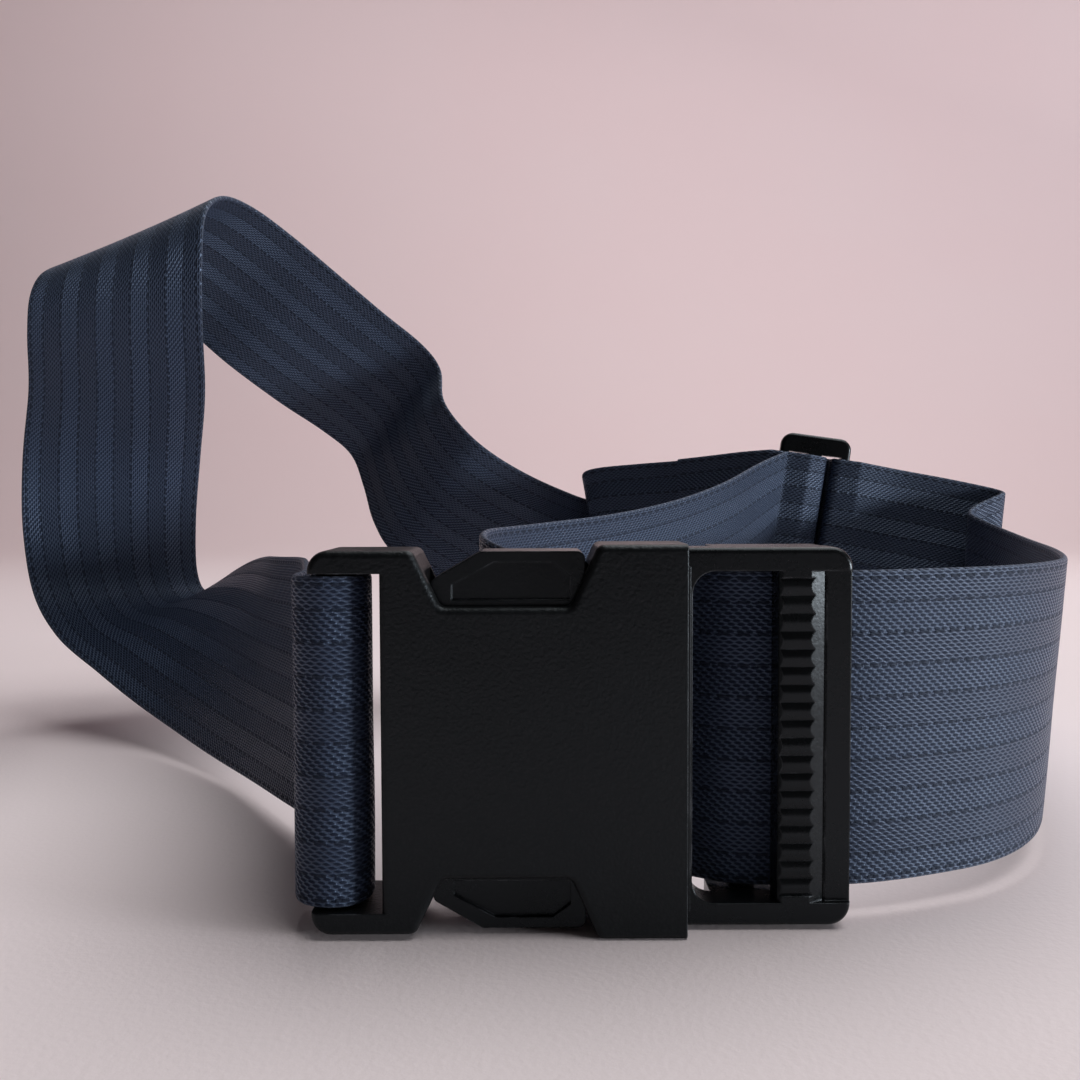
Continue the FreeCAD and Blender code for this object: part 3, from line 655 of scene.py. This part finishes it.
def plastic_material(name, grain, rough_low, rough_high, tone, glint_share):
    """Black moulded plastic: grain eroded by sparks with painted glints in it, flow marks, and
    paler edges that are partly wear and partly a painted edge highlight.
    """
    g = Graph(name)
    place = g.node("ShaderNodeTexCoord").outputs["Object"]
    coarse = g.noise(place, 1500.0, 3.0, 0.6)
    fine = g.noise(place, 4200.0, 2.0, 0.6)
    cells = g.node("ShaderNodeTexVoronoi", feature="SMOOTH_F1")
    g.feed(cells.inputs["Vector"], place)
    cells.inputs["Scale"].default_value = 1900.0
    flow = g.noise(place, 55.0, 3.0, 0.6)
    geometry = g.node("ShaderNodeNewGeometry")
    soft = g.node("ShaderNodeBevel", samples=6)
    soft.inputs["Radius"].default_value = 0.00035
    differ = g.node("ShaderNodeVectorMath", operation="DOT_PRODUCT")
    g.feed(differ.inputs[0], soft.outputs[0])
    g.feed(differ.inputs[1], geometry.outputs["Normal"])
    rim = g.span(differ.outputs["Value"], 0.97, 0.80)
    # Paler colour along the edges is partly edge wear and partly a painted edge highlight.
    edge_wear_and_highlight = g.math("MULTIPLY", rim, g.span(g.noise(place, 240.0, 3.0, 0.65), 0.42, 0.68))
    darker = (tone * 0.80, tone * 0.88, tone * 1.0, 1)
    paler = (tone * 1.1, tone * 1.2, tone * 1.35, 1)
    glint = (tone * 4.0, tone * 4.1, tone * 4.3, 1)
    base = g.mix(g.span(flow, 0.35, 0.65), darker, paler)
    # Bright flecks at the centres of the grain cells are painted glints in the base colour.
    base = g.mix(g.span(cells.outputs["Distance"], 0.05, 0.5, glint_share, 0.0), base, glint)
    base = g.mix(g.math("MULTIPLY", edge_wear_and_highlight, 0.7), base, (0.120, 0.130, 0.145, 1))
    g.feed(g.shader.inputs["Base Color"], base)
    height = g.math("ADD", coarse, g.math("MULTIPLY", fine, 0.5))
    height = g.math("SUBTRACT", height, g.math("MULTIPLY", cells.outputs["Distance"], 0.8))
    g.feed(g.shader.inputs["Normal"], g.bump(height, grain, soft.outputs[0]))
    patches = g.math("ADD", g.math("MULTIPLY", flow, 0.7), g.math("MULTIPLY", coarse, 0.3))
    rough = g.span(patches, 0.35, 0.65, rough_low, rough_high)
    rough = g.math("SUBTRACT", rough, g.math("MULTIPLY", edge_wear_and_highlight, 0.08))
    g.feed(g.shader.inputs["Roughness"], rough)
    g.shader.inputs["Specular IOR Level"].default_value = 0.26
    g.shader.inputs["Specular Tint"].default_value = (0.80, 0.92, 1.0, 1)
    return g.material


WEBBING = webbing_material()
THREAD = thread_material()
SHELL = plastic_material("grained_shell", 0.000055, 0.34, 0.44, 0.0030, 0.25)
PLUG = plastic_material("satin_plug", 0.000012, 0.22, 0.30, 0.0028, 0.06)
ARM = plastic_material("satin_arm", 0.000018, 0.26, 0.36, 0.0028, 0.10)
GLIDE = plastic_material("satin_glide", 0.000016, 0.24, 0.34, 0.0034, 0.08)

for node_name, material in (
    ("receptacle", SHELL),
    ("plug_frame", PLUG),
    ("release_arm_upper", ARM),
    ("release_arm_lower", ARM),
    ("tri_glide", GLIDE),
):
    node = NODES[node_name]
    node.data.materials.clear()
    node.data.materials.append(material)


def webbing(name, first, last):
    """The webbing from one run to another, in place of the CAD nodes of the runs between."""
    piece, length = ribbon(name, first, last)
    piece.data.materials.append(WEBBING)
    runs = RUN_NAMES[RUN_NAMES.index(first) : RUN_NAMES.index(last) + 1]
    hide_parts(*["webbing_" + run for run in runs])
    return piece


sewn = webbing("web_sewn_loop", "sewn_tail", "sewn_lead")
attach(sewn, "receptacle")
rise = webbing("web_rise", "rise", "rise")
loop = webbing("web_loop", "upright", "left_fold")
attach(loop, "plug_and_webbing")
left_run = webbing("web_left_run", "left_run", "left_run")
threaded = webbing("web_in_glide", "in_glide", "in_glide")
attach(threaded, "tri_glide")
right_run = webbing("web_right_run", "right_run", "right_run")
front = webbing("web_front", "right_fold", "return_bend")
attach(front, "plug_and_webbing")
back_run = webbing("web_return_run", "return_run", "return_run")
tail = webbing("web_end_loop", "end_loop", "cut_end")
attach(tail, "tri_glide")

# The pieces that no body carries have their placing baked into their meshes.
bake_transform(rise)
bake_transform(left_run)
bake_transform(right_run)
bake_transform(back_run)


# ------------------------------------------------------------------ stitching
def stitches():
    """A sewn box with a cross in it, stitch by stitch, on both faces of the doubled webbing."""
    origin = Vector((-38.4, 20.2, 0.0))  # the seam lies along the run sewn_lead
    heading = (Vector((-43.7, 42.0, 0.0)) - origin).normalized()
    out = Vector((-heading.y, heading.x, 0.0))
    long_side, tall, inset = 20.0, 38.0, 1.6  # of the box, and of the cross within it
    pitch, goes_in, comes_out = 2.9, 0.07, 0.93  # the last two are shares of the pitch
    rings, around = 7, 8
    half_wide, half_high, arch, sunk = 0.27, 0.22, 0.20, 0.10  # of one stitch
    verts, faces = [], []

    def stitch(a, b, face_out):
        side = (b - a).normalized().cross(face_out).normalized()
        first = len(verts)
        for r in range(rings):
            t = r / (rings - 1)
            swell = math.sin(math.pi * min(max(t, 0.06), 0.94)) ** 0.45
            centre = a.lerp(b, t) + face_out * (arch * math.sin(math.pi * t) - sunk)
            for k in range(around):
                turn = 2 * math.pi * k / around
                offset = side * math.cos(turn) * half_wide + face_out * math.sin(turn) * half_high
                verts.append((centre + offset * swell + SHIFT) / 1000)
        for r in range(rings - 1):
            for k in range(around):
                p, q = first + r * around + k, first + r * around + (k + 1) % around
                faces.append((p, q, q + around, p + around))
        faces.append(tuple(first + k for k in reversed(range(around))))
        faces.append(tuple(first + (rings - 1) * around + k for k in range(around)))

    def line(start, end, base, face_out):
        count = max(1, round(math.dist(start, end) / pitch))
        for n in range(count):
            ends = []
            for share in ((n + goes_in) / count, (n + comes_out) / count):
                s = start[0] + (end[0] - start[0]) * share
                z = start[1] + (end[1] - start[1]) * share
                ends.append(base + heading * s + Vector((0, 0, z)))
            stitch(ends[0], ends[1], face_out)

    def box(margin):
        right, top = long_side - margin, tall - margin
        return [(margin, margin), (right, margin), (right, top), (margin, top)]

    for face_out, gap in ((out, THICK / 2 + 0.08), (-out, THICK * 1.5 + 0.36)):
        base = origin + face_out * gap + Vector((0, 0, MID - tall / 2))
        corners, cross = box(0), box(inset)
        for p, q in zip(corners, corners[1:] + corners[:1]):
            line(p, q, base, face_out)
        line(cross[0], cross[2], base, face_out)
        line(cross[3], cross[1], base, face_out)
    mesh = bpy.data.meshes.new("loop_stitches")
    mesh.from_pydata(verts, [], faces)
    for face in mesh.polygons:
        face.use_smooth = True
    obj = bpy.data.objects.new("loop_stitches", mesh)
    scene.collection.objects.link(obj)
    return obj


sewing = stitches()
sewing.data.materials.append(THREAD)
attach(sewing, "receptacle")
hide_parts("loop_stitching")


# ------------------------------------------------------------------ floor, light, camera
def sweep():
    """A pale floor that curves up into a backdrop."""
    g = Graph("pale_paper")
    place = g.node("ShaderNodeTexCoord").outputs["Object"]
    depth = g.node("ShaderNodeSeparateXYZ")
    g.feed(depth.inputs[0], place)
    near, far, cloud = (0.88, 0.80, 0.82, 1), (0.80, 0.635, 0.645, 1), (0.80, 0.68, 0.69, 1)
    tint = g.mix(g.span(depth.outputs[1], -0.3, 1.6), near, far)
    tint = g.mix(g.span(g.noise(place, 3.0, 2.0), 0.3, 0.7, 0.0, 0.2), tint, cloud)
    g.feed(g.shader.inputs["Base Color"], tint)
    g.feed(g.shader.inputs["Normal"], g.bump(g.noise(place, 900.0, 3.0), 0.00004))
    g.shader.inputs["Roughness"].default_value = 0.9
    g.shader.inputs["Specular IOR Level"].default_value = 0.1
    near_end, bend_from, radius, top, half, steps = -1.3, 0.9, 0.9, 4.0, 2.6, 12
    profile = [(near_end, 0.0), (bend_from, 0.0)]
    for k in range(1, steps + 1):
        turn = math.radians(90 * k / steps)
        profile.append((bend_from + radius * math.sin(turn), radius - radius * math.cos(turn)))
    profile.append((bend_from + radius, top))
    verts, faces = [], []
    for y, z in profile:
        verts += [(-half, y, z), (half, y, z)]
    for n in range(len(profile) - 1):
        faces.append((2 * n, 2 * n + 1, 2 * n + 3, 2 * n + 2))
    mesh = bpy.data.meshes.new("paper_sweep")
    mesh.from_pydata(verts, [], faces)
    for face in mesh.polygons:
        face.use_smooth = True
    mesh.materials.append(g.material)
    obj = bpy.data.objects.new("paper_sweep", mesh)
    scene.collection.objects.link(obj)


def softbox(name, place, aim, size, power, colour):
    """A rectangular lamp at a place, turned towards its aim."""
    lamp = bpy.data.lights.new(name, "AREA")
    lamp.shape = "RECTANGLE"
    lamp.size, lamp.size_y = size
    lamp.energy = power
    lamp.color = colour
    obj = bpy.data.objects.new(name, lamp)
    obj.location = place
    obj.rotation_euler = (Vector(aim) - Vector(place)).to_track_quat("-Z", "Y").to_euler()
    scene.collection.objects.link(obj)


sweep()
# A window low on the right, the room's ceiling above, and a lamp on the backdrop:
# name, place, aim, size in m, power in W, colour.
SOFTBOXES = [
    ("window_right", (3.80, -1.09, 0.24), (0.02, 0.02, 0.06), (1.1, 0.5), 150.0, (0.93, 0.96, 1.0)),
    ("ceiling", (0.45, 0.15, 1.25), (0.0, -0.05, 0.0), (1.5, 1.1), 16.5, (1.0, 0.99, 0.98)),
    ("backdrop_lamp", (0.0, 0.75, 1.5), (0.0, 1.75, 1.1), (2.4, 0.5), 5.2, (1.0, 0.98, 0.98)),
]
for settings in SOFTBOXES:
    softbox(*settings)

world = bpy.data.worlds.new("soft_room")
world.use_nodes = True
room, join = world.node_tree.nodes, world.node_tree.links.new
faint = room["Background"]  # the light that the room gives
faint.inputs[0].default_value = (0.92, 0.86, 0.86, 1)
faint.inputs[1].default_value = 0.03
seen = room.new("ShaderNodeBackground")  # what shows beyond the paper's edges
seen.inputs[0].default_value = (0.60, 0.50, 0.51, 1)
path = room.new("ShaderNodeLightPath")
choice = room.new("ShaderNodeMixShader")
join(path.outputs["Is Camera Ray"], choice.inputs[0])
join(faint.outputs[0], choice.inputs[1])
join(seen.outputs[0], choice.inputs[2])
join(choice.outputs[0], room["World Output"].inputs[0])
scene.world = world
scene.view_settings.view_transform = "Standard"

CAMERA_AT = (0.00744, -0.24533, 0.065)
LOOKS_DOWN, ROLL = math.radians(2.5), math.radians(0.2)
lens = bpy.data.cameras.new("photo_camera")
lens.sensor_width, lens.lens = 36.0, 33.333
lens.clip_start, lens.clip_end = 0.01, 20.0
camera = bpy.data.objects.new("photo_camera", lens)
camera.matrix_world = (
    Matrix.Translation(CAMERA_AT)
    @ Matrix.Rotation(math.radians(90) - LOOKS_DOWN, 4, "X")
    @ Matrix.Rotation(-ROLL, 4, "Z")
)
scene.collection.objects.link(camera)
scene.camera = camera
